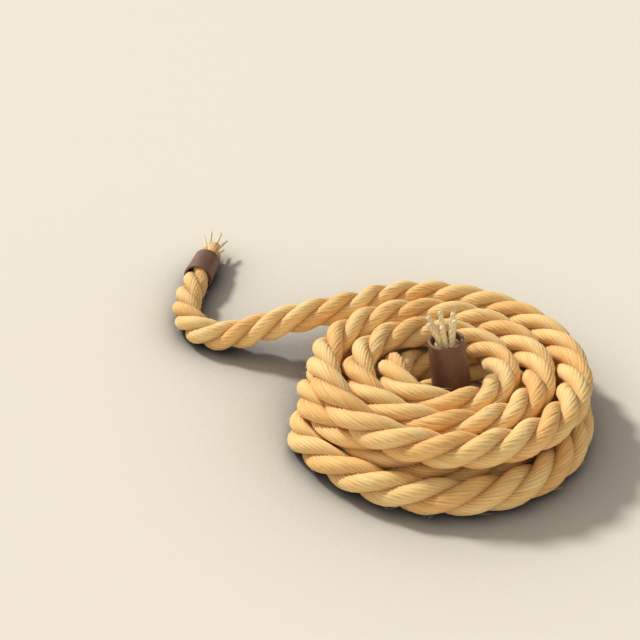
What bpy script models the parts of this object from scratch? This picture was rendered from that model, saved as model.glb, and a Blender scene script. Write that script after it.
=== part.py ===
"""A short length of thick laid rope, wound clockwise into a two-layer flat coil on a table.

One end runs off the top of the coil, comes down to the table and turns away from it. The other
end comes up in the middle. Both ends are gripped by a tapered leather sleeve and frayed beyond it.

Metres, +Z up, +X to the right, +Y away from the viewer. The origin is the middle of the coil's
flat underside. Angles along the coil are azimuths in degrees, clockwise seen from above, from +Y.
"""

import math

import bmesh
import bpy
from mathutils import Vector

MM = 0.001

# Driving dimensions
ROPE_D = 24 * MM
ROPE_R = ROPE_D / 2
GAP = 0.3 * MM

# Top layer: a spiral that runs inward from the outer turn
TOP_START = -20
TOP_END = 960
TOP_OUTER_R = 101 * MM
TOP_PITCH = 25 * MM
TOP_HEIGHT = 36.7 * MM
TOP_DRIFT = 2.4 * MM
HUMP_HEIGHT = 6.5 * MM
HUMP_AZIMUTH = 253
HUMP_WIDTH = 24

# From the end of the top layer the rope dives into the well, runs outward along the table, hops
# over its own end at the left and makes the full outer turn. Columns: azimuth, radius, height in mm.
LOWER_LAYER = [
    (980, 34.0, 35.5),
    (1000, 33.8, 31.5),
    (1020, 35.0, 26.0),
    (1040, 37.2, 19.7),
    (1060, 39.6, 14.9),
    (1085, 42.0, 12.2),
    (1110, 47.0, 12.0),
    (1170, 64.5, 12.0),
    (1220, 74.5, 12.0),
    (1260, 77.6, 12.0),
    (1285, 79.5, 14.8),
    (1305, 86.0, 21.5),
    (1320, 91.5, 26.2),
    (1333, 93.0, 26.8),
    (1346, 89.5, 23.4),
    (1358, 85.5, 18.4),
    (1372, 82.5, 14.0),
    (1388, 81.5, 12.0),
    (1405, 82.5, 12.0),
    (1440, 86.0, 12.0),
    (1485, 91.0, 12.0),
    (1530, 96.5, 12.0),
    (1575, 100.0, 12.0),
    (1620, 102.5, 12.0),
    (1655, 103.5, 12.0),
    (1672, 103.5, 11.5),
    (1690, 103.0, 9.8),
    (1696, 95.0, 9.0),
    (1701, 82.5, 9.0),
]

# The coil's solid: one section every COIL_STEP degrees
COIL_STEP = 6
STEPS_PER_TURN = 360 // COIL_STEP
COIL_SECTIONS = 189
ARC_POINTS = 5
WALL_LEVELS = [0.0, 0.08, 0.20, 0.33, 0.46, 0.58, 0.66, 0.74, 0.87]
SEAM_LEVELS = 5
VALLEY_OUT = 12.5 * MM
VALLEY_UP = 1.7 * MM
WELL_FLOOR = 10.8 * MM

# The rope's free end, from the coil down to the table and round to the sleeve, in mm
TAIL_ROUTE = [
    (-55.0, 88.0, 36.7),
    (-74.5, 80.5, 36.7),
    (-92.5, 75.5, 35.3),
    (-109.0, 73.5, 31.7),
    (-125.0, 73.2, 26.4),
    (-138.0, 74.4, 21.1),
    (-151.5, 76.8, 15.9),
    (-167.0, 80.6, 12.5),
    (-179.5, 87.5, 12.0),
    (-189.0, 99.0, 12.0),
    (-195.0, 114.0, 12.0),
    (-196.8, 131.0, 12.0),
    (-195.4, 151.0, 12.6),
]
TAIL_SPACING = 14 * MM

# Sleeves: the middle of the mouth and of the frayed end of each, in mm, then the outer radius there
TAIL_SLEEVE = ((-192.6, 173.0, 13.2), (-187.8, 206.0, 12.7))
TAIL_SLEEVE_R = (13.0 * MM, 12.4 * MM)
CENTRE_SLEEVE = ((9.6, 1.2, 24.0), (3.0, 2.4, 60.6))
CENTRE_SLEEVE_R = (14.3 * MM, 12.9 * MM)
SLEEVE_WALL = 2 * MM
SLEEVE_EDGE = 0.5 * MM
SLEEVE_SIDES = 24
CENTRE_ROPE_FOOT = 9.5 * MM

# Frayed ends: a plug of strand ends in the sleeve, and the loose yarns that fan out of it. A crown
# is how far the strand ends stand out of the sleeve, and their radius there.
PLUG_DEPTH = 8 * MM
PLUG_SIDES = 16
YARN_SIDES = 6
YARN_TAPER = 0.6
YARN_ROOT_DEPTH = 4 * MM
TAIL_CROWN = (17 * MM, 8.5 * MM)
CENTRE_CROWN = (3 * MM, 8.5 * MM)

# Columns: azimuth and lean in degrees, then root radius, length and thickness in mm
TAIL_YARNS = [
    (21, 21, 4.0, 25.5, 2.4),
    (66, 18, 4.0, 25.0, 2.4),
    (115, 15, 4.0, 25.0, 2.4),
    (165, 14, 4.0, 24.5, 2.4),
    (-140, 13, 4.0, 21.5, 2.4),
    (-60, 13, 4.0, 23.0, 2.4),
]
CENTRE_YARNS = [
    (-1, 16, 5.0, 18.0, 3.6),
    (72, 11, 5.0, 17.5, 3.6),
    (140, 16, 5.0, 18.0, 3.6),
    (-165, 21, 5.0, 18.5, 3.6),
    (-114, 22, 5.0, 18.5, 3.6),
    (-60, 21, 5.0, 18.5, 3.6),
]


def to_metres(point):
    """Turns a point given in mm into a Vector in metres."""
    return Vector(point) * MM


def top_turn(azimuth):
    """Radius and height of the rope's middle in the top layer."""
    turns = azimuth / 360
    drift = TOP_DRIFT * (1 - turns) * math.cos(math.radians(azimuth))
    hump = HUMP_HEIGHT * math.exp(-(((azimuth - HUMP_AZIMUTH) / HUMP_WIDTH) ** 2))
    return TOP_OUTER_R - TOP_PITCH * turns + drift, TOP_HEIGHT + hump


def lower_turn(azimuth):
    """Radius and height of the rope's middle below the top layer, read smoothly from the table."""
    rows = []
    for start in (TOP_END - 30, TOP_END):
        rows.append((start, *top_turn(start)))
    for angle, radius, height in LOWER_LAYER:
        rows.append((angle, radius * MM, height * MM))
    after = 1
    while after < len(rows) - 1 and rows[after][0] < azimuth:
        after += 1
    before = after - 1
    span = rows[after][0] - rows[before][0]
    t = (azimuth - rows[before][0]) / span
    blended = []
    for column in (1, 2):
        start_slope = table_slope(rows, before, column) * span
        end_slope = table_slope(rows, after, column) * span
        start = rows[before][column]
        end = rows[after][column]
        rise = t * t * (3 - 2 * t)
        blended.append(
            start + (end - start) * rise
            + start_slope * t * (1 - t) ** 2
            - end_slope * t * t * (1 - t)
        )
    return blended[0], blended[1]


def table_slope(rows, index, column):
    """Slope of one column at one row, from the rows on each side of it."""
    first = max(index - 1, 0)
    last = min(index + 1, len(rows) - 1)
    return (rows[last][column] - rows[first][column]) / (rows[last][0] - rows[first][0])


def rope_at(azimuth):
    """Radius and height of the rope's middle anywhere along the coil."""
    if azimuth <= TOP_END:
        return top_turn(azimuth)
    return lower_turn(azimuth)


def on_azimuth(azimuth, radius, height):
    """The point at this radius and height in the half-plane of this azimuth."""
    angle = math.radians(azimuth)
    return Vector((radius * math.sin(angle), radius * math.cos(angle), height))


def smooth_route(route, spacing):
    """Points at about this spacing along one smooth curve through all points of the route."""
    points = [2 * route[0] - route[1], *route, 2 * route[-1] - route[-2]]
    dense = []
    for i in range(1, len(points) - 2):
        p0, p1, p2, p3 = points[i - 1 : i + 3]
        for k in range(20):
            t = k / 20
            dense.append(
                0.5 * (2 * p1 + (p2 - p0) * t + (2 * p0 - 5 * p1 + 4 * p2 - p3) * t * t
                       + (3 * p1 - p0 - 3 * p2 + p3) * t ** 3)
            )
    dense.append(route[-1])
    distances = [0.0]
    for a, b in zip(dense, dense[1:]):
        distances.append(distances[-1] + (b - a).length)
    count = max(round(distances[-1] / spacing), 1)
    picked = []
    j = 0
    for i in range(count + 1):
        wanted = distances[-1] * i / count
        while j < len(dense) - 2 and distances[j + 1] < wanted:
            j += 1
        share = (wanted - distances[j]) / (distances[j + 1] - distances[j])
        picked.append(dense[j].lerp(dense[j + 1], share))
    return picked


def linear_colour(code):
    """Converts an sRGB hex colour to the linear values that a shader takes."""
    channels = []
    for i in (0, 2, 4):
        value = int(code[i : i + 2], 16) / 255
        channels.append(value / 12.92 if value <= 0.04045 else ((value + 0.055) / 1.055) ** 2.4)
    return (*channels, 1.0)


def make_material(name, code, roughness):
    """A plain Principled material."""
    material = bpy.data.materials.new(name)
    material.use_nodes = True
    shader = material.node_tree.nodes["Principled BSDF"]
    shader.inputs["Base Color"].default_value = linear_colour(code)
    shader.inputs["Roughness"].default_value = roughness
    shader.inputs["Metallic"].default_value = 0.0
    return material


def make_collection(name):
    """A collection linked to the scene."""
    collection = bpy.data.collections.new(name)
    bpy.context.scene.collection.children.link(collection)
    return collection


def add_object(name, data, collection, material):
    """Puts the data in the scene as a named object with its own material."""
    part = bpy.data.objects.new(name, data)
    collection.objects.link(part)
    data.materials.append(material)
    return part


def outline_radius(azimuth, height):
    """How far out the stacked turns reach at this azimuth and height."""
    reach = 0.0
    angle = azimuth
    while angle <= LOWER_LAYER[-1][0]:
        radius, middle = rope_at(angle)
        off = abs(height - middle)
        if off < ROPE_R:
            reach = max(reach, radius + math.sqrt(ROPE_R ** 2 - off ** 2))
        else:
            reach = max(reach, radius - (off - ROPE_R))
        angle += 360
    return reach


def valley_at(azimuth):
    """Radius and height of the groove between a turn and the next one inward."""
    radius, height = rope_at(azimuth)
    next_radius, next_height = rope_at(azimuth + 360)
    groove = max(radius - VALLEY_OUT, next_radius - VALLEY_OUT)
    aside = min(abs(groove - next_radius), ROPE_R)
    rise = max(math.sqrt(ROPE_R ** 2 - aside ** 2), VALLEY_UP)
    return groove, min(height, next_height) + rise


def arc_between(azimuth, start, end):
    """Points round the top of one turn, from the direction of start to that of end."""
    radius, height = rope_at(azimuth)
    first = math.atan2(start[1] - height, start[0] - radius)
    last = math.atan2(end[1] - height, end[0] - radius) % (2 * math.pi)
    points = []
    for i in range(1, ARC_POINTS + 1):
        turn = first + (last - first) * i / (ARC_POINTS + 1)
        points.append((radius + ROPE_R * math.cos(turn), height + ROPE_R * math.sin(turn)))
    return points


def make_coil(collection, material):
    """The coil as one solid: a spiral of ridges on top, the stacked turns outside, a flat base."""
    mesh = bmesh.new()
    last_section = COIL_SECTIONS - 1
    first_inner = last_section - STEPS_PER_TURN

    def vertex(azimuth, point):
        return mesh.verts.new(on_azimuth(azimuth, point[0], point[1]))

    def join(left, right):
        for i in range(len(left) - 1):
            corners = [left[i], left[i + 1], right[i + 1], right[i]]
            mesh.faces.new(corners)

    walls = []
    ridges = []
    grooves = []
    for section in range(COIL_SECTIONS):
        azimuth = TOP_START + COIL_STEP * section
        radius, height = rope_at(azimuth)
        side = (radius + ROPE_R, height)
        if section < STEPS_PER_TURN:
            outer_point = side
            outer = vertex(azimuth, side)
        else:
            outer_point = valley_at(azimuth - 360)
            outer = grooves[section - STEPS_PER_TURN]
        if section <= STEPS_PER_TURN:
            wall = []
            for number, level in enumerate(WALL_LEVELS):
                if section == STEPS_PER_TURN and number < SEAM_LEVELS:
                    wall.append(walls[0][number])
                    continue
                level_height = level * height
                wall.append(vertex(azimuth, (outline_radius(azimuth, level_height), level_height)))
            walls.append(wall + [outer])
        inner_point = valley_at(azimuth) if section <= first_inner else (radius - ROPE_R, height)
        groove = vertex(azimuth, inner_point)
        grooves.append(groove)
        arc = [vertex(azimuth, point) for point in arc_between(azimuth, outer_point, inner_point)]
        ridges.append([outer, *arc, groove])

    feet = []
    for section in range(first_inner, COIL_SECTIONS):
        azimuth = TOP_START + COIL_STEP * section
        radius = rope_at(azimuth)[0]
        feet.append(vertex(azimuth, (radius - ROPE_R, WELL_FLOOR)))

    for left, right in zip(walls, walls[1:]):
        join(left, right)
    for left, right in zip(ridges, ridges[1:]):
        join(left, right)
    for i in range(STEPS_PER_TURN):
        left = [grooves[first_inner + i], feet[i]]
        right = [grooves[first_inner + i + 1], feet[i + 1]]
        join(left, right)

    seam = STEPS_PER_TURN
    outer_end = walls[0][SEAM_LEVELS - 1 :] + ridges[0][1:] + walls[seam][-2 : SEAM_LEVELS - 1 : -1]
    mesh.faces.new(outer_end)
    inner_end = ridges[last_section] + [feet[-1], feet[0]]
    mesh.faces.new(inner_end)
    mesh.faces.new(feet)
    mesh.faces.new([wall[0] for wall in walls[:seam]])

    bmesh.ops.triangulate(mesh, faces=[face for face in mesh.faces if len(face.verts) > 4])
    bmesh.ops.recalc_face_normals(mesh, faces=mesh.faces)
    data = bpy.data.meshes.new("coil")
    mesh.to_mesh(data)
    mesh.free()
    return add_object("coil", data, collection, material)


def make_tube(name, points, radii, collection, material):
    """A round tube through the points, as thick at each as its radius says."""
    curve = bpy.data.curves.new(name, "CURVE")
    curve.dimensions = "3D"
    curve.bevel_depth = ROPE_R
    curve.bevel_resolution = 4
    curve.use_fill_caps = True
    spline = curve.splines.new("POLY")
    spline.points.add(len(points) - 1)
    for control, point, radius in zip(spline.points, points, radii):
        control.co = (*point, 1)
        control.radius = radius / ROPE_R
    return add_object(name, curve, collection, material)


def squeezed(sleeve_radii):
    """The rope's radius at the sleeve's mouth and in its narrow end, just clear of its bore."""
    return [radius - SLEEVE_WALL - GAP for radius in sleeve_radii]


def make_tail_rope(collection, material):
    """The free end, from the coil's cut end to the sleeve, which squeezes it thinner."""
    start = on_azimuth(TOP_START, *rope_at(TOP_START))
    angle = math.radians(TOP_START)
    leaving = -Vector((math.cos(angle), -math.sin(angle), 0))
    mouth, tip = (to_metres(end) for end in TAIL_SLEEVE)
    axis = (tip - mouth).normalized()
    first = start + leaving * GAP
    second = start + leaving * ROPE_R / 2
    before_mouth = mouth - axis * ROPE_R / 2
    bend = smooth_route([second, *(to_metres(point) for point in TAIL_ROUTE), before_mouth],
                        TAIL_SPACING)
    end = tip - axis * (PLUG_DEPTH + GAP)
    points = [first, *bend, mouth, end]
    radii = [ROPE_R] * (len(bend) + 1) + squeezed(TAIL_SLEEVE_R)
    return make_tube("tail_rope", points, radii, collection, material)


def make_centre_rope(collection, material):
    """The end that stands up in the well, straight through its sleeve."""
    mouth, tip = (to_metres(end) for end in CENTRE_SLEEVE)
    axis = (tip - mouth).normalized()
    foot = mouth - axis * CENTRE_ROPE_FOOT
    end = tip - axis * (PLUG_DEPTH + GAP)
    points = [foot, mouth - axis * ROPE_R / 4, mouth, end]
    radii = [ROPE_R, ROPE_R] + squeezed(CENTRE_SLEEVE_R)
    return make_tube("centre_rope", points, radii, collection, material)


def make_turned(name, profile, closed, sides, collection, material):
    """A profile of (radius, height) points at +X, turned about Z with a Screw modifier."""
    mesh = bmesh.new()
    corners = [mesh.verts.new((radius, 0, height)) for radius, height in profile]
    for a, b in zip(corners, corners[1:]):
        mesh.edges.new((a, b))
    if closed:
        mesh.edges.new((corners[-1], corners[0]))
    data = bpy.data.meshes.new(name)
    mesh.to_mesh(data)
    mesh.free()
    part = add_object(name, data, collection, material)
    screw = part.modifiers.new("Turn", "SCREW")
    screw.steps = sides
    screw.render_steps = sides
    screw.use_merge_vertices = True
    screw.merge_threshold = 0.00001
    screw.use_normal_calculate = True
    return part


def place_on_axis(part, ends):
    """Stands the part on the first end's middle, with its own Z towards the second."""
    mouth, tip = (to_metres(end) for end in ends)
    part.location = mouth
    part.rotation_mode = "QUATERNION"
    part.rotation_quaternion = (tip - mouth).to_track_quat("Z", "Y")


def make_sleeve(name, ends, radii, collection, material):
    """A tapered leather tube that grips the rope, with softly rounded edges."""
    length = (to_metres(ends[1]) - to_metres(ends[0])).length
    mouth_radius, tip_radius = radii
    edge = SLEEVE_EDGE
    profile = [
        (tip_radius - edge, length),
        (tip_radius, length - edge),
        (mouth_radius, edge),
        (mouth_radius - edge, 0),
        (mouth_radius - SLEEVE_WALL, 0),
        (tip_radius - SLEEVE_WALL, length),
    ]
    part = make_turned(name, profile, True, SLEEVE_SIDES, collection, material)
    place_on_axis(part, ends)
    return part


def make_fray(name, ends, sleeve_radii, crown, yarns, collection, tools, material):
    """One comb: the plug of strand ends with every loose yarn joined to it."""
    length = (to_metres(ends[1]) - to_metres(ends[0])).length
    crown_height, crown_radius = crown
    bore = sleeve_radii[1] - SLEEVE_WALL
    profile = [
        (0, length + crown_height),
        (crown_radius, length + crown_height),
        (bore - 2 * GAP, length),
        (bore - 2 * GAP, length - PLUG_DEPTH),
        (0, length - PLUG_DEPTH),
    ]
    part = make_turned(name, profile, False, PLUG_SIDES, collection, material)
    place_on_axis(part, ends)

    root_height = length + crown_height - YARN_ROOT_DEPTH
    yarn_group = bpy.data.collections.new(name + "_yarns")
    tools.children.link(yarn_group)
    for number, (azimuth, lean, root, reach, thick) in enumerate(yarns):
        bpy.ops.mesh.primitive_cone_add(
            vertices=YARN_SIDES,
            radius1=thick * MM / 2,
            radius2=thick * MM / 2 * YARN_TAPER,
            depth=reach * MM,
        )
        yarn = bpy.context.object
        yarn.name = f"{name}_yarn_{number}"
        turn = math.radians(azimuth)
        outward = Vector((math.cos(turn), math.sin(turn), 0))
        slope = math.radians(lean)
        direction = outward * math.sin(slope) + Vector((0, 0, math.cos(slope)))
        yarn.parent = part
        yarn.location = outward * root * MM + Vector((0, 0, root_height)) + direction * reach * MM / 2
        yarn.rotation_mode = "QUATERNION"
        yarn.rotation_quaternion = direction.to_track_quat("Z", "Y")
        yarn.hide_render = True
        yarn.display_type = "WIRE"
        for owner in list(yarn.users_collection):
            owner.objects.unlink(yarn)
        yarn_group.objects.link(yarn)
    union = part.modifiers.new("Join yarns", "BOOLEAN")
    union.operation = "UNION"
    union.operand_type = "COLLECTION"
    union.collection = yarn_group
    return part


def main():
    for old in list(bpy.data.objects):
        bpy.data.objects.remove(old)

    parts = make_collection("coiled_frayed_rope")
    tools = make_collection("tools")
    rope = make_material("Manila rope", "E3B171", 0.85)
    leather = make_material("Brown leather", "5F402E", 0.6)
    yarn = make_material("Loose manila yarn", "EBCF9C", 0.9)

    make_coil(parts, rope)
    make_tail_rope(parts, rope)
    make_centre_rope(parts, rope)
    make_sleeve("tail_sleeve", TAIL_SLEEVE, TAIL_SLEEVE_R, parts, leather)
    make_sleeve("centre_sleeve", CENTRE_SLEEVE, CENTRE_SLEEVE_R, parts, leather)
    make_fray("tail_fray", TAIL_SLEEVE, TAIL_SLEEVE_R, TAIL_CROWN, TAIL_YARNS, parts, tools, yarn)
    make_fray(
        "centre_fray", CENTRE_SLEEVE, CENTRE_SLEEVE_R, CENTRE_CROWN, CENTRE_YARNS, parts, tools, yarn
    )


main()
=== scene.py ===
import math

import bmesh
import bpy
import numpy as np
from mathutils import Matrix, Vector


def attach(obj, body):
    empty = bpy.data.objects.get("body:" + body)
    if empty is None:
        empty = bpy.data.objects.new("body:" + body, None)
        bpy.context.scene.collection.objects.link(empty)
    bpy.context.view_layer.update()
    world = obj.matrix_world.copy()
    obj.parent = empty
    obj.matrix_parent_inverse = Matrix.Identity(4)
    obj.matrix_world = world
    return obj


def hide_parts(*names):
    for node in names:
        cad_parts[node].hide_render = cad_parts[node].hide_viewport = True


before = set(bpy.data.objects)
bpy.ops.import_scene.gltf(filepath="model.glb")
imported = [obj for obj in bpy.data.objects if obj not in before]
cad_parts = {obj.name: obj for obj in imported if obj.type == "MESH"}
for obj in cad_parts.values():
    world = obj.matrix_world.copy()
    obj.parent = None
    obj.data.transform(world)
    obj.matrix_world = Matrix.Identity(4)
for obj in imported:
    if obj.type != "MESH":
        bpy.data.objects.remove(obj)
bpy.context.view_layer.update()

# ---------------------------------------------------------------------------------------------
# Camera
# A 50 mm lens looks down at the coil at 32 degrees, along the frame's +Y. It stands half a metre in
# front of the coil and a little to its left.
# ---------------------------------------------------------------------------------------------

MM = 0.001

camera_data = bpy.data.cameras.new("camera")
camera_data.lens = 50
camera_data.sensor_width = 36
camera = bpy.data.objects.new("camera", camera_data)
camera.location = (-84.4 * MM, -513.1 * MM, 401.1 * MM)
camera.rotation_euler = (math.radians(57.8), 0, 0)
bpy.context.scene.collection.objects.link(camera)
bpy.context.scene.camera = camera

# ---------------------------------------------------------------------------------------------
# Rope: the route
# One length of 24 mm three-strand manila. It is wound clockwise and inward on the top layer, dives
# into the well, runs outward on the surface, hops over its own end at the left, makes the outer
# ring and comes back under itself to stand up in the middle.
# ---------------------------------------------------------------------------------------------

ROPE_D = 24 * MM
ROPE_R = ROPE_D / 2

TOP_START = -20
TOP_END = 960
TOP_OUTER_R = 101 * MM
TOP_PITCH = 25 * MM
TOP_HEIGHT = 36.7 * MM
TOP_DRIFT = 2.4 * MM
HUMP_HEIGHT = 6.5 * MM
HUMP_AZIMUTH = 253
HUMP_WIDTH = 24

# Columns: azimuth in degrees, then radius and height in mm
LOWER_LAYER = [
    (980, 34.0, 35.5),
    (1000, 33.8, 31.5),
    (1020, 35.0, 26.0),
    (1040, 37.2, 19.7),
    (1060, 39.6, 14.9),
    (1085, 42.0, 12.2),
    (1110, 47.0, 12.0),
    (1170, 64.5, 12.0),
    (1220, 74.5, 12.0),
    (1260, 77.6, 12.0),
    (1285, 79.5, 14.8),
    (1305, 86.0, 21.5),
    (1320, 91.5, 26.2),
    (1333, 93.0, 26.8),
    (1346, 89.5, 23.4),
    (1358, 85.5, 18.4),
    (1372, 82.5, 14.0),
    (1388, 81.5, 12.0),
    (1405, 82.5, 12.0),
    (1440, 86.0, 12.0),
    (1485, 91.0, 12.0),
    (1530, 96.5, 12.0),
    (1575, 100.0, 12.0),
    (1620, 102.5, 12.0),
    (1655, 103.5, 12.0),
    (1672, 103.5, 11.5),
]

# Points in mm, from the coil to the sleeve on the free end
TAIL_ROUTE = [
    (-55.0, 88.0, 36.7),
    (-74.5, 80.5, 36.7),
    (-92.5, 75.5, 35.3),
    (-109.0, 73.5, 31.7),
    (-125.0, 73.2, 26.4),
    (-138.0, 74.4, 21.1),
    (-151.5, 76.8, 15.9),
    (-167.0, 80.6, 12.5),
    (-179.5, 87.5, 12.0),
    (-189.0, 99.0, 12.0),
    (-195.0, 114.0, 12.0),
    (-196.8, 131.0, 12.0),
    (-195.4, 151.0, 12.6),
]

# Points in mm, under the coil from the left and up in the middle of the well
HIDDEN_ROUTE = [
    (-96.5, -36.0, 9.8),
    (-92.0, -22.5, 9.0),
    (-81.5, -12.8, 9.0),
    (-67.5, -8.0, 10.5),
    (-52.0, -5.0, 12.0),
    (-36.0, -2.5, 12.0),
    (-21.0, -0.8, 12.0),
    (-7.0, 0.2, 12.8),
    (3.6, 0.7, 17.4),
    (8.8, 1.1, 26.0),
    (7.6, 1.3, 36.0),
]

# The middle of the mouth and of the frayed end of each sleeve, in mm
TAIL_SLEEVE = ((-192.6, 173.0, 13.2), (-187.8, 206.0, 12.7))
CENTRE_SLEEVE = ((9.6, 1.2, 24.0), (3.0, 2.4, 60.6))
ROPE_END_INSIDE = 6 * MM

POINTS_BETWEEN = 12
TOP_STEP = 5
RING_STEP = 3.9 * MM
SMOOTHING_STEP = 1 * MM
SMOOTHING_PASSES = 30


def to_metres(point):
    """Turns a point given in mm into an array in metres."""
    return np.array(point, float) * MM


def on_azimuth(azimuth, radius, height):
    """The point at this radius and height, on an azimuth clockwise from +Y."""
    angle = math.radians(azimuth)
    return np.array([radius * math.sin(angle), radius * math.cos(angle), height])


def top_turn(azimuth):
    """Radius and height of the rope's middle in the top layer."""
    turns = azimuth / 360
    drift = TOP_DRIFT * (1 - turns) * math.cos(math.radians(azimuth))
    hump = HUMP_HEIGHT * math.exp(-(((azimuth - HUMP_AZIMUTH) / HUMP_WIDTH) ** 2))
    return TOP_OUTER_R - TOP_PITCH * turns + drift, TOP_HEIGHT + hump


def smooth_curve(knots, points_between):
    """A smooth curve through the knots, whose tangents allow for uneven spacing."""
    knots = np.array(knots, float)
    padded = np.vstack([2 * knots[0] - knots[1], knots, 2 * knots[-1] - knots[-2]])
    spans = np.linalg.norm(np.diff(padded, axis=0), axis=1)[:, None]
    slopes = np.diff(padded, axis=0) / spans
    tangents = (slopes[:-1] * spans[1:] + slopes[1:] * spans[:-1]) / (spans[:-1] + spans[1:])
    t = np.linspace(0, 1, points_between, endpoint=False)[:, None]
    pieces = []
    for i in range(len(knots) - 1):
        rise = t * t * (3 - 2 * t)
        pieces.append(
            knots[i] + (knots[i + 1] - knots[i]) * rise
            + tangents[i] * spans[i + 1] * t * (1 - t) ** 2
            - tangents[i + 1] * spans[i + 1] * t * t * (1 - t)
        )
    return np.vstack([*pieces, knots[-1:]])


def evenly_spaced(line, step):
    """The same line with its points a step apart."""
    along = np.concatenate([[0], np.cumsum(np.linalg.norm(np.diff(line, axis=0), axis=1))])
    wanted = np.linspace(0, along[-1], round(along[-1] / step) + 1)
    return np.stack([np.interp(wanted, along, line[:, axis]) for axis in range(3)], axis=1)


def sleeve_axis(ends):
    """The mouth, the frayed end and the direction between them of a sleeve."""
    mouth, tip = (to_metres(end) for end in ends)
    return mouth, tip, (tip - mouth) / np.linalg.norm(tip - mouth)


tail_mouth, tail_tip, tail_axis = sleeve_axis(TAIL_SLEEVE)
centre_mouth, centre_tip, centre_axis = sleeve_axis(CENTRE_SLEEVE)

top_azimuths = np.arange(TOP_START, TOP_END + 1, TOP_STEP)
top_layer = np.array([on_azimuth(azimuth, *top_turn(azimuth)) for azimuth in top_azimuths])
lower_rows = [(azimuth, *top_turn(azimuth)) for azimuth in (TOP_END - 30, TOP_END)]
lower_rows += [(azimuth, radius * MM, height * MM) for azimuth, radius, height in LOWER_LAYER]
# Azimuth counts as a length here, so that the table's rows are joined smoothly
lower_knots = [(azimuth * MM, radius, height) for azimuth, radius, height in lower_rows]
lower_curve = smooth_curve(lower_knots, POINTS_BETWEEN)[POINTS_BETWEEN:]
lower_layer = np.array([on_azimuth(row[0] / MM, row[1], row[2]) for row in lower_curve])

tail = smooth_curve(
    [tail_tip - tail_axis * ROPE_END_INSIDE, tail_mouth]
    + [to_metres(point) for point in reversed(TAIL_ROUTE)]
    + [top_layer[0], top_layer[1]],
    POINTS_BETWEEN,
)
rise = smooth_curve(
    [lower_layer[-6], lower_layer[-1]]
    + [to_metres(point) for point in HIDDEN_ROUTE]
    + [centre_mouth + centre_axis * 20 * MM, centre_tip - centre_axis * ROPE_END_INSIDE],
    POINTS_BETWEEN,
)
# The last stretch of one part of the route is the first of the next, so it is kept only once
overlap = POINTS_BETWEEN + 1
route = np.vstack([tail[:-overlap], top_layer, lower_layer[1:], rise[overlap:]])
route = evenly_spaced(route, SMOOTHING_STEP)
for _ in range(SMOOTHING_PASSES):
    route[1:-1] = (route[:-2] + 2 * route[1:-1] + route[2:]) / 4
rope_line = evenly_spaced(route, RING_STEP)

# ---------------------------------------------------------------------------------------------
# Rope: the strands
# Three strands laid left-handed, each twisted the other way from yarns about 3 mm thick, so the
# yarns run nearly along the rope. Where turns press on each other or on the surface, they flatten.
# ---------------------------------------------------------------------------------------------

LAY_LENGTH = 79 * MM
LAY_PHASE = -0.56
# Where handling has opened or closed the lay. Each pair is how far along the rope, in mm, and how
# far the strands have slipped there, in mm
LAY_SLIPS = [
    (0, 34), (60, 34), (120, 22), (210, 15), (300, 11), (370, 8), (450, 5), (560, 0),
    (650, -7), (700, -6), (760, 0), (835, 6), (920, 3), (1000, 0), (1110, -3), (1175, -5),
    (1230, 0), (1300, 0), (1410, -9), (1500, 0), (1540, 0), (1880, 22.5),
]
STRANDS = 3
STRAND_PATH_R = 6.1 * MM
STRAND_DEEP = 5.9 * MM
STRAND_WIDE = 6.7 * MM
STRAND_TONES = [0.22, 0.32, 0.64]
# Loops of the rope further apart along it than this can press on each other
NEXT_TURN = 2.2 * ROPE_D
# A pressed turn is round up to this share of the way to the one that it touches, then flattens
ROUND_SHARE = 0.6
TURN_GAP = 0.15 * MM
SURFACE_GAP = 0.1 * MM
YARNS = 16
COLUMNS_PER_YARN = 3
YARN_TURN = 0.85
YARN_DRIFT = 0.09
YARN_DRIFT_LENGTH = 83 * MM
GROOVE_DEPTH = 0.55 * MM
YARN_UNEVEN = 0.24 * MM
YARN_UNEVEN_LENGTH = 110 * MM
YARN_TONE_SPREAD = 0.10
# How much shade is painted into the grooves between yarns, and how much more down between the
# strands
YARN_GROOVE_SHADE = 0.22
STRAND_GROOVE_SHADE = 0.9
# Inside a sleeve the rope shrinks, from its mouth to the rope's tip
MOUTH_SQUEEZE = 0.88
TIP_SQUEEZE = 0.82
SLEEVE_LENGTH = 34 * MM

random = np.random.default_rng(24)


def carried_frames(line):
    """Two unit vectors across the line at each point, carried along it without twist."""
    tangents = np.gradient(line, axis=0)
    tangents /= np.linalg.norm(tangents, axis=1)[:, None]
    side = np.cross(tangents[0], [0, 0, 1])
    if np.linalg.norm(side) < 0.2:
        side = np.cross(tangents[0], [0, 1, 0])
    sides = []
    for tangent in tangents:
        side = side - tangent * side.dot(tangent)
        side = side / np.linalg.norm(side)
        sides.append(side)
    sides = np.array(sides)
    return sides, np.cross(tangents, sides)


def wave(along, length, phase):
    """A slow uneven swell along the rope, between -1 and 1."""
    first = np.sin(2 * math.pi * along / length + phase)
    second = np.sin(2 * math.pi * along / (0.37 * length) + 2.3 * phase)
    return 0.65 * first + 0.35 * second


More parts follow.
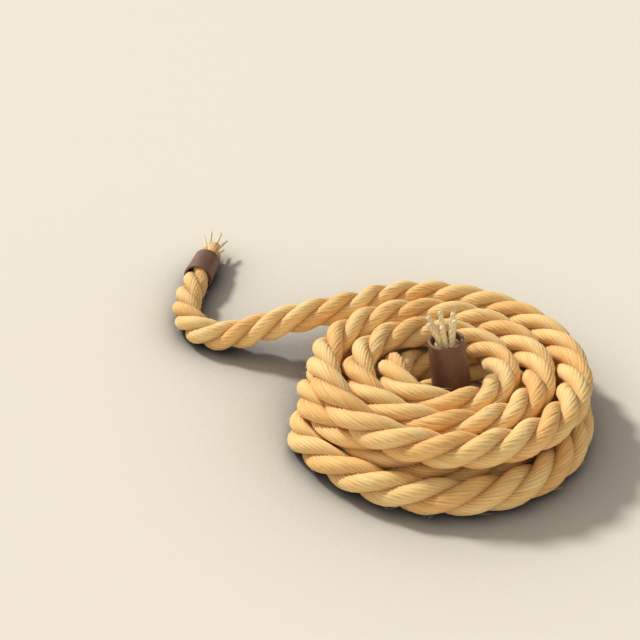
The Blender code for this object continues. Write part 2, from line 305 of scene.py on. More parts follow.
class Yarnwork:
    """Collects tubes, with their UV in metres and their tone, and makes one mesh of them."""

    def __init__(self):
        self.points = []
        self.faces = []
        self.uvs = []
        self.tones = []
        self.grooves = []
        self.count = 0

    def add_tube(self, rings, tone, groove):
        """A closed tube from an array of rings; tone and groove, its share of painted shade, are
        given at each ring point.
        """
        lines, columns = rings.shape[:2]
        length = np.linalg.norm(np.diff(rings.mean(axis=1), axis=0), axis=1)
        along = np.concatenate([[0], np.cumsum(length)]) + random.random() * 0.5
        around = np.linalg.norm(rings[lines // 2] - np.roll(rings[lines // 2], 1, axis=0), axis=1)
        across = np.concatenate([[0], np.cumsum(around)])
        i, j = np.meshgrid(np.arange(lines - 1), np.arange(columns), indexing="ij")
        i = i.ravel()
        j = j.ravel()
        k = (j + 1) % columns
        base = self.count
        quads = np.stack(
            [i * columns + j, i * columns + k, (i + 1) * columns + k, (i + 1) * columns + j], axis=1
        )
        self.faces += (quads + base).tolist()
        corner_u = np.stack([along[i], along[i], along[i + 1], along[i + 1]], axis=1)
        corner_v = np.stack([across[j], across[j + 1], across[j + 1], across[j]], axis=1)
        self.uvs.append(np.stack([corner_u, corner_v], axis=2).reshape(-1, 2))
        self.faces.append((np.arange(columns)[::-1] + base).tolist())
        self.faces.append((np.arange(columns) + (lines - 1) * columns + base).tolist())
        start = np.stack([np.full(columns, along[0]), across[:-1]], axis=1)
        self.uvs.append(start[::-1])
        self.uvs.append(np.stack([np.full(columns, along[-1]), across[:-1]], axis=1))
        self.points.append(rings.reshape(-1, 3))
        self.tones.append(np.broadcast_to(tone, rings.shape[:2]).ravel())
        self.grooves.append(np.broadcast_to(groove, rings.shape[:2]).ravel())
        self.count += lines * columns

    def make(self, name):
        """The mesh object, with a UV map and the two attributes that its material reads."""
        data = bpy.data.meshes.new(name)
        data.from_pydata(np.vstack(self.points), [], self.faces)
        uv_map = data.uv_layers.new(name="UVMap")
        uv_map.data.foreach_set("uv", np.vstack(self.uvs).ravel())
        for title, values in (("tone", self.tones), ("groove", self.grooves)):
            attribute = data.attributes.new(title, "FLOAT", "POINT")
            attribute.data.foreach_set("value", np.concatenate(values))
        data.shade_smooth()
        piece = bpy.data.objects.new(name, data)
        bpy.context.scene.collection.objects.link(piece)
        return piece


def squeeze_along(line):
    """How much each ring shrinks, near and inside the two sleeves."""
    along = np.concatenate([[0], np.cumsum(np.linalg.norm(np.diff(line, axis=0), axis=1))])
    from_end = np.minimum(along, along[-1] - along)
    inside = SLEEVE_LENGTH - ROPE_END_INSIDE
    stations = [0, inside, inside + 10 * MM, inside + 26 * MM]
    return np.interp(from_end, stations, [TIP_SQUEEZE, MOUTH_SQUEEZE, 0.96, 1.0])


def press_turns(rings, line):
    """Flattens each ring against any other turn that comes closer than the rope is thick."""
    gaps = np.linalg.norm(line[:, None] - line[None], axis=2)
    order = np.arange(len(line))
    apart = np.abs(order[:, None] - order[None]) * RING_STEP
    gaps[apart < NEXT_TURN] = 1
    for i in np.flatnonzero(gaps.min(axis=1) < ROPE_D):
        close = np.flatnonzero(gaps[i] < ROPE_D)
        stretches = np.split(close, np.flatnonzero(np.diff(close) > 1) + 1)
        for stretch in stretches:
            nearest = stretch[np.argmin(gaps[i][stretch])]
            towards = line[nearest] - line[i]
            half = np.linalg.norm(towards) / 2
            towards = towards / (2 * half)
            reach = (rings[i] - line[i]) @ towards
            limit = half - TURN_GAP
            round_to = ROUND_SHARE * limit
            over = np.clip(reach - round_to, 0, None)
            flattened = round_to + (limit - round_to) * np.tanh(over / (limit - round_to))
            change = np.where(over > 0, flattened - reach, 0)
            rings[i] += change[:, None] * towards
    return rings


sides, ups = carried_frames(rope_line)
rope_along = np.arange(len(rope_line)) * RING_STEP
squeeze = squeeze_along(rope_line)
slips = np.interp(rope_along, *(np.array(column) * MM for column in zip(*LAY_SLIPS)))
slips = np.convolve(np.pad(slips, 4, mode="edge"), np.ones(9) / 9, mode="valid")
lay_angles = LAY_PHASE - 2 * math.pi * (rope_along - slips) / LAY_LENGTH
rope_work = Yarnwork()
columns = YARNS * COLUMNS_PER_YARN
yarn_of_column = np.arange(columns) // COLUMNS_PER_YARN
in_yarn = (np.arange(columns) % COLUMNS_PER_YARN) / COLUMNS_PER_YARN
groove_of_column = (np.abs(2 * in_yarn - 1)) ** 2.5
for strand in range(STRANDS):
    lay = lay_angles + 2 * math.pi * strand / STRANDS
    yarn_phases = random.random(YARNS) * 2 * math.pi
    yarn_tones = random.normal(0, YARN_TONE_SPREAD, YARNS)
    # Each groove between two yarns wanders a little, so no yarn is as even as the next
    drifts = [wave(rope_along, YARN_DRIFT_LENGTH, phase + 1) for phase in yarn_phases]
    grooves = YARN_DRIFT * np.array(drifts).T + 2 * math.pi * np.arange(YARNS)[None] / YARNS
    next_grooves = np.roll(grooves, -1, axis=1)
    next_grooves[:, -1] += 2 * math.pi
    yarn_widths = (next_grooves - grooves)[:, yarn_of_column]
    angles = grooves[:, yarn_of_column] + in_yarn * yarn_widths - (YARN_TURN * lay)[:, None]
    relative = angles - lay[:, None]
    swells = [wave(rope_along, YARN_UNEVEN_LENGTH, phase) for phase in yarn_phases]
    swell = np.array(swells).T[:, yarn_of_column]
    lift = YARN_UNEVEN * swell * (1 - groove_of_column) - GROOVE_DEPTH * groove_of_column
    out = (STRAND_PATH_R + (STRAND_DEEP + lift) * np.cos(relative)) * squeeze[:, None]
    aside = (STRAND_WIDE + lift) * np.sin(relative) * squeeze[:, None]
    radial = np.cos(lay)[:, None] * sides + np.sin(lay)[:, None] * ups
    tangential = -np.sin(lay)[:, None] * sides + np.cos(lay)[:, None] * ups
    rings = (
        rope_line[:, None]
        + out[:, :, None] * radial[:, None]
        + aside[:, :, None] * tangential[:, None]
    )
    rings = press_turns(rings, rope_line)
    rings[:, :, 2] = np.maximum(rings[:, :, 2], SURFACE_GAP)
    # Painted shade: the colour darkens in the grooves between yarns and deeper down between the
    # strands
    depth = np.clip(1 - np.hypot(out, aside) / ROPE_R, 0, 1)
    shade = YARN_GROOVE_SHADE * groove_of_column[None] + STRAND_GROOVE_SHADE * depth
    groove = np.clip(shade, 0, 1)
    tone = STRAND_TONES[strand] + yarn_tones[yarn_of_column][None] + YARN_TONE_SPREAD * swell
    rope_work.add_tube(rings, tone, groove)
rope = rope_work.make("rope")


def linear_colour(code):
    """Converts an sRGB hex colour to the linear values that a shader takes."""
    channels = []
    for start in (0, 2, 4):
        value = int(code[start : start + 2], 16) / 255
        channels.append(value / 12.92 if value <= 0.04045 else ((value + 0.055) / 1.055) ** 2.4)
    return (*channels, 1.0)


def add_node(owner, kind, links=(), values=(), **settings):
    """Adds a node to a material or world, with its links, values by socket, and other settings."""
    tree = owner.node_tree
    node = tree.nodes.new(kind)
    for key, value in settings.items():
        if hasattr(node, key):
            setattr(node, key, value)
        else:
            node.inputs[key.replace("_", " ")].default_value = value
    for socket, value in values:
        node.inputs[socket].default_value = value
    for source, socket in links:
        tree.links.new(source, node.inputs[socket])
    return node


def set_ramp(node, stops):
    """Gives a colour ramp its (place, hex colour) stops."""
    ramp = node.color_ramp
    while len(ramp.elements) > 2:
        ramp.elements.remove(ramp.elements[-1])
    for element, (place, code) in zip(ramp.elements, stops):
        element.position = place
        element.color = linear_colour(code)
    for place, code in stops[2:]:
        ramp.elements.new(place).color = linear_colour(code)


def new_material(name):
    """An empty node material with its Principled shader, and that shader."""
    material = bpy.data.materials.new(name)
    material.use_nodes = True
    return material, material.node_tree.nodes["Principled BSDF"]


def manila_material(name, pale, middle, dark, shade):
    """Manila: hard, slightly glossy leaf fibres, straw to golden, spun loosely into yarn."""
    material, shader = new_material(name)
    links = material.node_tree.links
    place = add_node(material, "ShaderNodeUVMap", uv_map="UVMap")
    tone = add_node(material, "ShaderNodeAttribute", attribute_name="tone")
    groove = add_node(material, "ShaderNodeAttribute", attribute_name="groove")
    # Fibres about 0.25 mm wide and 10 mm long, drawn twice as coarse as real ones so they show
    fibre_place = add_node(
        material, "ShaderNodeMapping", [(place.outputs["UV"], "Vector")], Scale=(90, 2600, 1)
    )
    fibres = add_node(
        material, "ShaderNodeTexNoise", [(fibre_place.outputs["Vector"], "Vector")],
        Scale=1.0, Detail=3.0, Roughness=0.6,
    )
    # Bundles of fibres about 1 mm wide, each its own straw colour
    bundle_place = add_node(
        material, "ShaderNodeMapping", [(place.outputs["UV"], "Vector")], Scale=(35, 700, 1)
    )
    bundles = add_node(
        material, "ShaderNodeTexNoise", [(bundle_place.outputs["Vector"], "Vector")],
        Scale=1.0, Detail=2.0, Roughness=0.5,
    )
    # Weathering in patches some 40 mm across
    object_place = add_node(material, "ShaderNodeTexCoord")
    patches = add_node(
        material, "ShaderNodeTexNoise", [(object_place.outputs["Object"], "Vector")],
        Scale=28.0, Detail=2.0, Roughness=0.5,
    )
    streaks = add_node(
        material, "ShaderNodeMath", [(fibres.outputs["Fac"], 0), (bundles.outputs["Fac"], 1)],
        operation="ADD",
    )
    centred = add_node(
        material, "ShaderNodeMath", [(streaks.outputs[0], 0)], [(1, 0.9), (2, -0.9)],
        operation="MULTIPLY_ADD",
    )
    patchy = add_node(
        material, "ShaderNodeMath", [(patches.outputs["Fac"], 0)], [(1, 0.5), (2, -0.25)],
        operation="MULTIPLY_ADD",
    )
    varied = add_node(
        material, "ShaderNodeMath", [(tone.outputs["Fac"], 0), (centred.outputs[0], 1)],
        operation="ADD",
    )
    varied = add_node(
        material, "ShaderNodeMath", [(varied.outputs[0], 0), (patchy.outputs[0], 1)],
        operation="ADD",
    )
    colour = add_node(material, "ShaderNodeValToRGB", [(varied.outputs[0], "Fac")])
    set_ramp(colour, [(0.0, pale), (0.5, middle), (1.0, dark)])
    # Painted shade: the colour is mixed towards the shade colour by the groove attribute
    shaded = add_node(
        material, "ShaderNodeMix", [(groove.outputs["Fac"], 0), (colour.outputs["Color"], 6)],
        [(7, linear_colour(shade))], data_type="RGBA",
    )
    links.new(shaded.outputs[2], shader.inputs["Base Color"])
    rough = add_node(
        material, "ShaderNodeMapRange", [(fibres.outputs["Fac"], "Value")], To_Min=0.62, To_Max=0.86
    )
    links.new(rough.outputs["Result"], shader.inputs["Roughness"])
    height = add_node(
        material, "ShaderNodeMath", [(bundles.outputs["Fac"], 0), (fibres.outputs["Fac"], 1)],
        operation="ADD",
    )
    bump = add_node(
        material, "ShaderNodeBump", [(height.outputs[0], "Height")],
        Strength=0.55, Distance=0.35 * MM,
    )
    links.new(bump.outputs["Normal"], shader.inputs["Normal"])
    shader.inputs["Metallic"].default_value = 0.0
    shader.inputs["IOR"].default_value = 1.5
    shader.inputs["Sheen Weight"].default_value = 0.12
    shader.inputs["Sheen Roughness"].default_value = 0.5
    return material


rope.data.materials.append(manila_material("manila_rope", "FFDB92", "FFCB79", "E6AB60", "B27E42"))
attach(rope, "root")
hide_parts("coil", "tail_rope", "centre_rope")

# ---------------------------------------------------------------------------------------------
# Leather sleeves
# A tapered tube of smooth dark-brown leather, about 2 mm thick, pressed tight round each rope end.
# Its cut edges are rounded and burnished, and the hide's grain and soft dents show.
# ---------------------------------------------------------------------------------------------

# Outer radius at the mouth and at the frayed end
TAIL_SLEEVE_R = (13.0 * MM, 12.4 * MM)
CENTRE_SLEEVE_R = (14.3 * MM, 12.9 * MM)
SLEEVE_WALL = 2 * MM
SLEEVE_SIDES = 96
SLEEVE_CUTS = 24
# How deep the hide's broad and narrow dents are, and how uneven the two cut edges
BROAD_DENT = 0.16 * MM
NARROW_DENT = 0.10 * MM
DENT_ROOM = 0.25 * MM
BROAD_LIP = 0.35 * MM
NARROW_LIP = 0.2 * MM
EDGE_ROUND = 0.6 * MM
BURNISHED_WIDTH = 1.6 * MM


def leather_material(name):
    """Vegetable-tanned cowhide, dyed dark brown: a pebbled grain with a soft, waxed gloss."""
    material, shader = new_material(name)
    links = material.node_tree.links
    place = add_node(material, "ShaderNodeTexCoord")
    # Pebbles of about 0.8 mm with shallow creases between them
    warp = add_node(
        material, "ShaderNodeTexNoise", [(place.outputs["Object"], "Vector")],
        Scale=420.0, Detail=2.0,
    )
    bent = add_node(
        material, "ShaderNodeVectorMath",
        [(warp.outputs["Color"], 0), (place.outputs["Object"], 2)],
        [(1, (1.2 * MM, 1.2 * MM, 1.2 * MM))], operation="MULTIPLY_ADD",
    )
    pebbles = add_node(
        material, "ShaderNodeTexVoronoi", [(bent.outputs["Vector"], "Vector")],
        feature="DISTANCE_TO_EDGE", Scale=1250.0,
    )
    grain = add_node(
        material, "ShaderNodeMapRange", [(pebbles.outputs["Distance"], "Value")],
        interpolation_type="SMOOTHSTEP", From_Max=0.30,
    )
    # Mottled dye, in patches of about 10 mm
    dye = add_node(
        material, "ShaderNodeTexNoise", [(place.outputs["Object"], "Vector")],
        Scale=110.0, Detail=5.0, Roughness=0.6,
    )
    colour = add_node(material, "ShaderNodeValToRGB", [(dye.outputs["Fac"], "Fac")])
    set_ramp(colour, [(0.30, "6E4B35"), (0.70, "90664B")])
    # Wax and dye gather in the creases
    creases = add_node(
        material, "ShaderNodeMix", [(grain.outputs["Result"], 0), (colour.outputs["Color"], 7)],
        [(6, linear_colour("6A4836"))], data_type="RGBA",
    )
    # Rubbed places of 15 to 30 mm, where the dye has worn paler
    wear = add_node(
        material, "ShaderNodeTexNoise", [(place.outputs["Object"], "Vector")],
        Scale=48.0, Detail=8.0, Roughness=0.7,
    )
    worn = add_node(
        material, "ShaderNodeMapRange", [(wear.outputs["Fac"], "Value")],
        From_Min=0.55, From_Max=0.75, To_Max=0.45,
    )
    rubbed = add_node(
        material, "ShaderNodeMix", [(worn.outputs["Result"], 0), (creases.outputs[2], 6)],
        [(7, linear_colour("9C765C"))], data_type="RGBA",
    )
    # Burnishing leaves the cut edges a little greyer than the dyed face
    edge = add_node(material, "ShaderNodeAttribute", attribute_name="edge")
    burnished = add_node(
        material, "ShaderNodeMix", [(edge.outputs["Fac"], 0), (rubbed.outputs[2], 6)],
        [(7, linear_colour("8A6552"))], data_type="RGBA",
    )
    links.new(burnished.outputs[2], shader.inputs["Base Color"])
    rough = add_node(
        material, "ShaderNodeMapRange", [(dye.outputs["Fac"], "Value")], To_Min=0.40, To_Max=0.62
    )
    links.new(rough.outputs["Result"], shader.inputs["Roughness"])
    height = add_node(
        material, "ShaderNodeMath", [(wear.outputs["Fac"], 0), (grain.outputs["Result"], 2)],
        [(1, 2.5)], operation="MULTIPLY_ADD",
    )
    bump = add_node(
        material, "ShaderNodeBump", [(height.outputs[0], "Height")],
        Strength=0.5, Distance=0.07 * MM,
    )
    links.new(bump.outputs["Normal"], shader.inputs["Normal"])
    shader.inputs["IOR"].default_value = 1.48
    return material


def make_sleeve(name, ends, radii, seed):
    """A tube made from a cylinder's wall: ringed, tapered, dented, thickened and rounded."""
    mouth, tip, axis = sleeve_axis(ends)
    length = float(np.linalg.norm(tip - mouth))
    bpy.ops.object.select_all(action="DESELECT")
    bpy.ops.mesh.primitive_cylinder_add(
        vertices=SLEEVE_SIDES, radius=1, depth=length, end_fill_type="NOTHING"
    )
    sleeve = bpy.context.object
    sleeve.name = name
    sleeve.data.name = name
    bpy.ops.object.mode_set(mode="EDIT")
    bpy.ops.mesh.select_all(action="SELECT")
    mesh = bmesh.from_edit_mesh(sleeve.data)
    uprights = []
    for edge in mesh.edges:
        foot, top = edge.verts
        if abs(foot.co.z - top.co.z) > length / 2:
            uprights.append(edge)
    bmesh.ops.subdivide_edges(mesh, edges=uprights, cuts=SLEEVE_CUTS, use_grid_fill=True)
    for vertex in mesh.verts:
        share = vertex.co.z / length + 0.5
        angle = math.atan2(vertex.co.y, vertex.co.x)
        radius = radii[0] + (radii[1] - radii[0]) * share
        radius += BROAD_DENT * math.sin(3 * angle + seed) * math.sin(2.4 * share + seed)
        radius += NARROW_DENT * math.sin(5 * angle - 2 * seed + 6 * share) - DENT_ROOM
        lip = BROAD_LIP * math.sin(2 * angle + seed) + NARROW_LIP * math.sin(5 * angle + 2 * seed)
        end_share = abs(2 * share - 1)
        height = length * share + lip * end_share ** 4
        vertex.co = (radius * math.cos(angle), radius * math.sin(angle), height)
    bmesh.update_edit_mesh(sleeve.data)
    bpy.ops.object.mode_set(mode="OBJECT")
    wall = sleeve.modifiers.new("wall", "SOLIDIFY")
    wall.thickness = SLEEVE_WALL
    wall.offset = -1
    bevel = sleeve.modifiers.new("cut edges", "BEVEL")
    bevel.width = EDGE_ROUND
    bevel.segments = 3
    bevel.angle_limit = math.radians(50)
    for modifier in ("wall", "cut edges"):
        bpy.ops.object.modifier_apply(modifier=modifier)
    edge = sleeve.data.attributes.new("edge", "FLOAT", "POINT")
    heights = np.array([vertex.co.z for vertex in sleeve.data.vertices])
    near_edge = np.minimum(heights - heights.min(), heights.max() - heights)
    edge.data.foreach_set("value", np.clip(1 - near_edge / BURNISHED_WIDTH, 0, 1) ** 1.5)
    bpy.ops.object.shade_smooth()
    turn = Vector(axis).to_track_quat("Z", "Y").to_matrix().to_4x4()
    turn.translation = Vector(mouth)
    sleeve.data.transform(turn)
    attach(sleeve, "root")
    return sleeve


leather = leather_material("brown_leather")
tail_sleeve = make_sleeve("tail_leather_sleeve", TAIL_SLEEVE, TAIL_SLEEVE_R, 1.0)
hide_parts("tail_sleeve")
tail_sleeve.data.materials.append(leather)
centre_sleeve = make_sleeve("centre_leather_sleeve", CENTRE_SLEEVE, CENTRE_SLEEVE_R, 4.0)
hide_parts("centre_sleeve")
centre_sleeve.data.materials.append(leather)

# ---------------------------------------------------------------------------------------------
# Frayed ends
# Beyond each sleeve the strands come apart into pale loose yarns of the same manila, each of three
# plies and ending in a brush of fine fibres. They fan out, and at the tail the strand ends still
# hold together for a short way.
# ---------------------------------------------------------------------------------------------

PLIES = 3
PLY_COLUMNS = 4
# The plies make one turn in this many mm of yarn
PLY_TURN_LENGTH = 9
# Once it is free of its strand, a yarn bulks out by a fifth
YARN_BULK = 1.2
# A yarn springs from this far down inside its strand's end
YARN_ROOT_DEPTH = 4 * MM
YARN_ROOT = 5 * MM
BRUSH_FIBRES = 10
BRUSH_ROOT = 1.5 * MM
FIBRE_THICK = 0.26 * MM
STRAND_END_YARNS = 11
STRAND_END_ROOT = 8 * MM
STRAND_END_TONE = 0.90
STRAND_END_SHADE = 0.28

# Columns: azimuth and lean in degrees, then root radius, length and thickness in mm
TAIL_YARNS = [
    (21, 21, 4.0, 25.5, 2.4),
    (66, 18, 4.0, 25.0, 2.4),
    (115, 15, 4.0, 25.0, 2.4),
    (165, 14, 4.0, 24.5, 2.4),
    (-140, 13, 4.0, 21.5, 2.4),
    (-60, 13, 4.0, 23.0, 2.4),
]
CENTRE_YARNS = [
    (-1, 16, 5.0, 18.0, 3.6),
    (72, 11, 5.0, 17.5, 3.6),
    (140, 16, 5.0, 18.0, 3.6),
    (-165, 21, 5.0, 18.5, 3.6),
    (-114, 22, 5.0, 18.5, 3.6),
    (-60, 21, 5.0, 18.5, 3.6),
]


def tube_rings(line, radii, angles):
    """Rings round a line: a radius for each ring point, at each ring point's angle."""
    across, up = carried_frames(line)
    return (
        line[:, None]
        + (radii * np.cos(angles))[:, :, None] * across[:, None]
        + (radii * np.sin(angles))[:, :, None] * up[:, None]
    )


def add_yarn(work, line, thick, turns, tone):
    """A yarn of three plies twisted together, a little thinner at its tip."""
    columns = PLIES * PLY_COLUMNS
    share = np.linspace(0, 1, len(line))[:, None]
    in_ply = (np.arange(columns) % PLY_COLUMNS) / PLY_COLUMNS
    groove = np.abs(2 * in_ply - 1) ** 2
    radii = thick / 2 * (1 - 0.16 * groove)[None] * (1 - 0.14 * share ** 2)
    angles = 2 * math.pi * (np.arange(columns)[None] / columns + turns * share)
    # Painted shade in the grooves between the plies
    work.add_tube(tube_rings(line, radii, angles), tone, 0.45 * groove)


def add_fibre(work, line, thick, tone):
    """One fine fibre, three-sided and tapered."""
    share = np.linspace(0, 1, len(line))[:, None]
    radii = thick / 2 * (1 - 0.6 * share) * np.ones((1, 3))
    angles = 2 * math.pi * np.arange(3)[None] / 3 + np.zeros_like(share)
    line = line.copy()
    line[:, 2] = np.maximum(line[:, 2], thick)
    work.add_tube(tube_rings(line, radii, angles), tone, 0.0)


def across_vectors(axis):
    """Two unit vectors square to the axis and to each other."""
    turn = Vector(axis).to_track_quat("Z", "Y")
    return np.array(turn @ Vector((1, 0, 0))), np.array(turn @ Vector((0, 1, 0)))


def add_strand_end(work, tip, axis, across, turn, stub_r, top):
    """One strand's end: it stands in the sleeve, loosens a little and closes in a blunt tip."""
    first, second = across
    shaft = np.linspace(-STRAND_END_ROOT, top - 2 * MM, 9)
    stations = np.concatenate([shaft, top - np.array([1.1, 0.4, 0]) * MM])
    share = np.linspace(0, 1, len(stations))
    swirl = turn - 0.8 * share
    offset = stub_r * (0.98 + 0.16 * share)
    line = (
        tip
        + stations[:, None] * axis
        + (offset * np.cos(swirl))[:, None] * first
        + (offset * np.sin(swirl))[:, None] * second
    )
    close = np.concatenate([np.ones(len(shaft)), [0.90, 0.66, 0.25]])
    count = STRAND_END_YARNS * COLUMNS_PER_YARN
    in_yarn = (np.arange(count) % COLUMNS_PER_YARN) / COLUMNS_PER_YARN
    dip = np.abs(2 * in_yarn - 1) ** 2.5
    radii = stub_r * (1 - 0.13 * dip)[None] * (close * (1 - 0.12 * share))[:, None]
    angles = 2 * math.pi * np.arange(count)[None] / count + 1.1 * share[:, None]
    tone = STRAND_END_TONE + 0.12 * random.random()
    # Painted shade: the strand end is mixed towards the shade colour all over, and more in the
    # grooves between its yarns
    work.add_tube(tube_rings(line, radii, angles), tone, STRAND_END_SHADE + 0.35 * dip)


def add_bent_fibre(work, start, heading, long, bend, thick, tone):
    """One fine fibre that starts along its heading and ends a little aside."""
    knots = [start, start + heading * long * 0.6, start + heading * long + bend]
    add_fibre(work, smooth_curve(knots, 3), thick, tone)


def make_fray(name, ends, crown, yarns, stub_r, stub_top, broken):
    """The strand ends, the loose yarns and the fine fibres of one rope end, as one piece."""
    mouth, tip, axis = sleeve_axis(ends)
    across = across_vectors(axis)
    work = Yarnwork()
    for strand in range(STRANDS):
        turn = 2 * math.pi * strand / STRANDS + 0.5
        add_strand_end(work, tip, axis, across, turn, stub_r, stub_top)
    for azimuth, lean, root, reach, thick in yarns:
        turn = math.radians(azimuth)
        slope = math.radians(lean)
        outward = math.cos(turn) * across[0] + math.sin(turn) * across[1]
        heading = outward * math.sin(slope) + axis * math.cos(slope)
        start = tip + outward * root * MM + axis * (crown - YARN_ROOT_DEPTH)
        end = start + heading * reach * MM
        bow = axis * 0.06 * reach * MM + random.normal(0, 0.25, 3) * MM
        knots = [start - axis * YARN_ROOT, start, start + heading * 0.5 * reach * MM + bow, end]
        turns = reach / PLY_TURN_LENGTH
        tone = random.uniform(0.05, 0.25)
        add_yarn(work, smooth_curve(knots, 6), YARN_BULK * thick * MM, turns, tone)
        # The yarn's tip opens into a brush of fibres
        for _ in range(BRUSH_FIBRES):
            spread = heading + random.normal(0, 0.28, 3)
            spread = spread / np.linalg.norm(spread)
            root_point = end + random.normal(0, thick * 0.2, 3) * MM - heading * BRUSH_ROOT
            long = random.uniform(2.5, 5.0) * MM
            bend = random.normal(0, 0.5, 3) * MM
            tone = random.uniform(0.0, 0.3)
            add_bent_fibre(work, root_point, spread, long, bend, FIBRE_THICK, tone)
    # Short broken yarns and fibres stand round the strand ends
    for _ in range(broken):
        turn = random.uniform(0, 2 * math.pi)
        outward = math.cos(turn) * across[0] + math.sin(turn) * across[1]
        heading = axis + outward * random.uniform(0.1, 0.7) + random.normal(0, 0.1, 3)
        heading = heading / np.linalg.norm(heading)
        start = tip + outward * random.uniform(2, 8) * MM
        start = start + axis * (stub_top - random.uniform(0, 5) * MM)
        long = random.uniform(3, 8) * MM
        bend = random.normal(0, 0.7, 3) * MM
        thick = FIBRE_THICK * random.uniform(0.8, 1.8)
        add_bent_fibre(work, start, heading, long, bend, thick, random.uniform(0.1, 0.5))
    piece = work.make(name)
    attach(piece, "root")
    return piece


loose_yarn = manila_material("loose_manila_yarn", "FFF2C4", "FFE6AC", "F4BC70", "C09658")
# The tail's strand ends stand out of their sleeve, and the centre's end down inside theirs
tail_fray = make_fray(
    "tail_loose_yarns", TAIL_SLEEVE, crown=17 * MM, yarns=TAIL_YARNS,
    stub_r=5.2 * MM, stub_top=22 * MM, broken=60,
)
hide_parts("tail_fray")
tail_fray.data.materials.append(loose_yarn)
centre_fray = make_fray(
    "centre_loose_yarns", CENTRE_SLEEVE, crown=3 * MM, yarns=CENTRE_YARNS,
    stub_r=5.1 * MM, stub_top=-4 * MM, broken=24,
)
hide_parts("centre_fray")
centre_fray.data.materials.append(loose_yarn)

# ---------------------------------------------------------------------------------------------
# Rope fuzz
# Fibre ends that have worked out of the yarns all along the rope: fine, stiff and pale, they lie
# close along it and lift off at their tips.
# ---------------------------------------------------------------------------------------------

FUZZ_FIBRES = 1500
# Between these distances from the tail's end the rope runs buried in the coil, with no fuzz left
BURIED_FROM = 1460 * MM
BURIED_TO = 1700 * MM
# Rings of the rope at its tail end and at its centre end, in and by the sleeves, without fuzz
TAIL_BARE_RINGS = 12
CENTRE_BARE_RINGS = 26
FUZZ_ROOT = 0.9 * MM
FUZZ_THICK = 0.8 * FIBRE_THICK
ROOM_FOR_FUZZ = 5 * MM
FUZZ_ABOVE_SURFACE = 4 * MM

fuzz_work = Yarnwork()
rope_tangents = np.gradient(rope_line, axis=0)
rope_tangents /= np.linalg.norm(rope_tangents, axis=1)[:, None]
for _ in range(FUZZ_FIBRES):
    ring = random.integers(TAIL_BARE_RINGS, len(rope_line) - CENTRE_BARE_RINGS)
    strand = random.integers(0, STRANDS)
    lay = lay_angles[ring] + 2 * math.pi * strand / STRANDS
    lean = random.normal(0, 0.6)
    out = math.cos(lay + lean * 0.45) * sides[ring] + math.sin(lay + lean * 0.45) * ups[ring]
    along_rope = rope_tangents[ring] * random.choice([-1, 1])
    aside = np.cross(out, along_rope) * random.normal(0, 0.35)
    start = rope_line[ring] + out * (ROPE_R - FUZZ_ROOT) * squeeze[ring]
    heading = along_rope + aside
    heading = heading / np.linalg.norm(heading)
    long = random.uniform(4, 10) * MM
    lift = random.uniform(0.8, 2.6) * MM
    middle = start + heading * long * 0.5 + out * lift * 0.75
    fibre = smooth_curve([start, middle, start + heading * long + out * lift], 3)
    # None is left where another turn or the surface has rubbed it off
    elsewhere = np.abs(np.arange(len(rope_line)) - ring) * RING_STEP > NEXT_TURN
    room = np.linalg.norm(rope_line[elsewhere] - fibre[-1], axis=1).min() - ROPE_R
    height = fibre[:, 2].min()
    buried = BURIED_FROM < rope_along[ring] < BURIED_TO
    if room > ROOM_FOR_FUZZ and height > FUZZ_ABOVE_SURFACE and not buried:
        add_fibre(fuzz_work, fibre, FUZZ_THICK, random.uniform(0.0, 0.5))
rope_fuzz = fuzz_work.make("rope_fuzz")
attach(rope_fuzz, "root")
rope_fuzz.data.materials.append(loose_yarn)

# ---------------------------------------------------------------------------------------------
# Floor, lamps and world
# A pale floor that fades into an even pale background, with shade painted on it where things
# stand close. A key lamp at the upper left gives one soft shadow to the right and a little to the
# front. A broad fill lamp in front and the white world lift what it leaves dark.
# ---------------------------------------------------------------------------------------------

FLOOR_COLOUR = "ECE2D0"
# The dark grey that shade is painted towards on the floor near things
PAINTED_SHADE_COLOUR = "343E46"
BACKDROP_COLOUR = "F2E8D5"
# How far round things the floor's painted shade reaches, and how steeply it deepens
PAINTED_SHADE_REACH = 220 * MM
PAINTED_SHADE_POWER = 1.9
# Radii round the coil's middle between which the floor without painted shade gives way to the floor
# with it
NO_PAINTED_SHADE_TO = 80 * MM
PAINTED_SHADE_FROM = 98 * MM
SKY_STRENGTH = 0.30

bpy.ops.object.select_all(action="DESELECT")
bpy.ops.mesh.primitive_plane_add(size=30)
floor = bpy.context.object
floor.name = "floor"
floor_material, floor_shader = new_material("matt_floor_paint")
# Painted shade, as ambient occlusion: the floor's colour darkens softly towards a dark grey where
# things stand close
closeness = add_node(
    floor_material, "ShaderNodeAmbientOcclusion",
    samples=8, Color=(1, 1, 1, 1), Distance=PAINTED_SHADE_REACH,
)
unoccluded_share = add_node(
    floor_material, "ShaderNodeMath", [(closeness.outputs["AO"], 0)], [(1, PAINTED_SHADE_POWER)],
    operation="POWER",
)
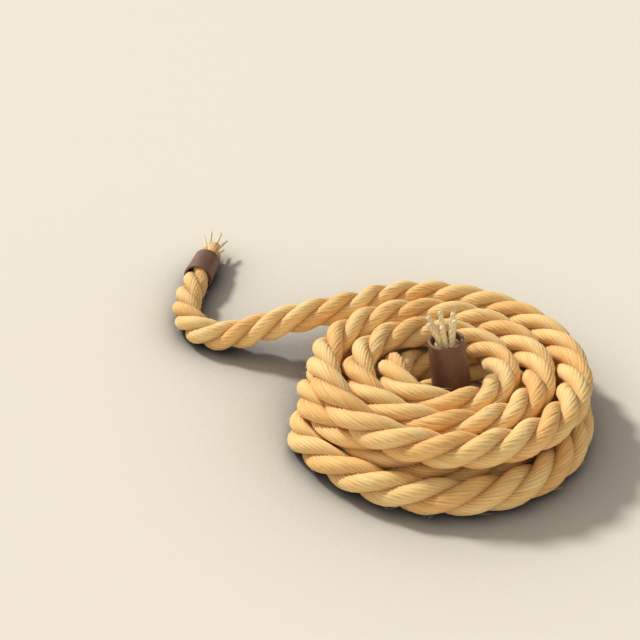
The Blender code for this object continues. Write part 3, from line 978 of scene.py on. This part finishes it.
# Inside the coil the floor gets none of this painted shade
floor_place = add_node(floor_material, "ShaderNodeTexCoord")
from_middle = add_node(
    floor_material, "ShaderNodeVectorMath", [(floor_place.outputs["Object"], 0)], operation="LENGTH"
)
inside_coil = add_node(
    floor_material, "ShaderNodeMapRange", [(from_middle.outputs["Value"], "Value")],
    From_Min=NO_PAINTED_SHADE_TO, From_Max=PAINTED_SHADE_FROM, To_Min=1.0, To_Max=0.0,
)
floor_colour_share = add_node(
    floor_material, "ShaderNodeMath", [(unoccluded_share.outputs[0], 0), (inside_coil.outputs["Result"], 1)],
    operation="MAXIMUM",
)
painted_shade_mix = add_node(
    floor_material, "ShaderNodeMix", [(floor_colour_share.outputs[0], 0)],
    [(6, linear_colour(PAINTED_SHADE_COLOUR)), (7, linear_colour(FLOOR_COLOUR))], data_type="RGBA",
)
floor_material.node_tree.links.new(painted_shade_mix.outputs[2], floor_shader.inputs["Base Color"])
floor_shader.inputs["Roughness"].default_value = 0.95
floor_shader.inputs["Specular IOR Level"].default_value = 0.1
floor.data.materials.append(floor_material)


def add_lamp(name, azimuth, elevation, spread, strength):
    """A far lamp, that shines from an azimuth clockwise from +Y; spread softens its shadow."""
    lamp_data = bpy.data.lights.new(name, "SUN")
    lamp_data.energy = strength
    lamp_data.angle = math.radians(spread)
    lamp = bpy.data.objects.new(name, lamp_data)
    lamp.rotation_euler = (math.radians(90 - elevation), 0, math.radians(180 - azimuth))
    bpy.context.scene.collection.objects.link(lamp)


add_lamp("key_lamp", azimuth=-47, elevation=39.5, spread=9, strength=3.15)
add_lamp("fill_lamp", azimuth=-172, elevation=30, spread=70, strength=0.80)

# White light from all round. Where the floor ends, the camera sees a backdrop as pale as the floor.
world = bpy.data.worlds.new("studio")
world.use_nodes = True
sky = world.node_tree.nodes["Background"]
sky.inputs["Color"].default_value = (1, 1, 1, 1)
sky.inputs["Strength"].default_value = SKY_STRENGTH
backdrop = add_node(
    world, "ShaderNodeBackground", Color=linear_colour(BACKDROP_COLOUR), Strength=1.0
)
ray = add_node(world, "ShaderNodeLightPath")
seen = add_node(
    world, "ShaderNodeMixShader",
    [(ray.outputs["Is Camera Ray"], 0), (sky.outputs[0], 1), (backdrop.outputs[0], 2)],
)
world.node_tree.links.new(seen.outputs[0], world.node_tree.nodes["World Output"].inputs["Surface"])
bpy.context.scene.world = world
bpy.context.scene.view_settings.view_transform = "Standard"
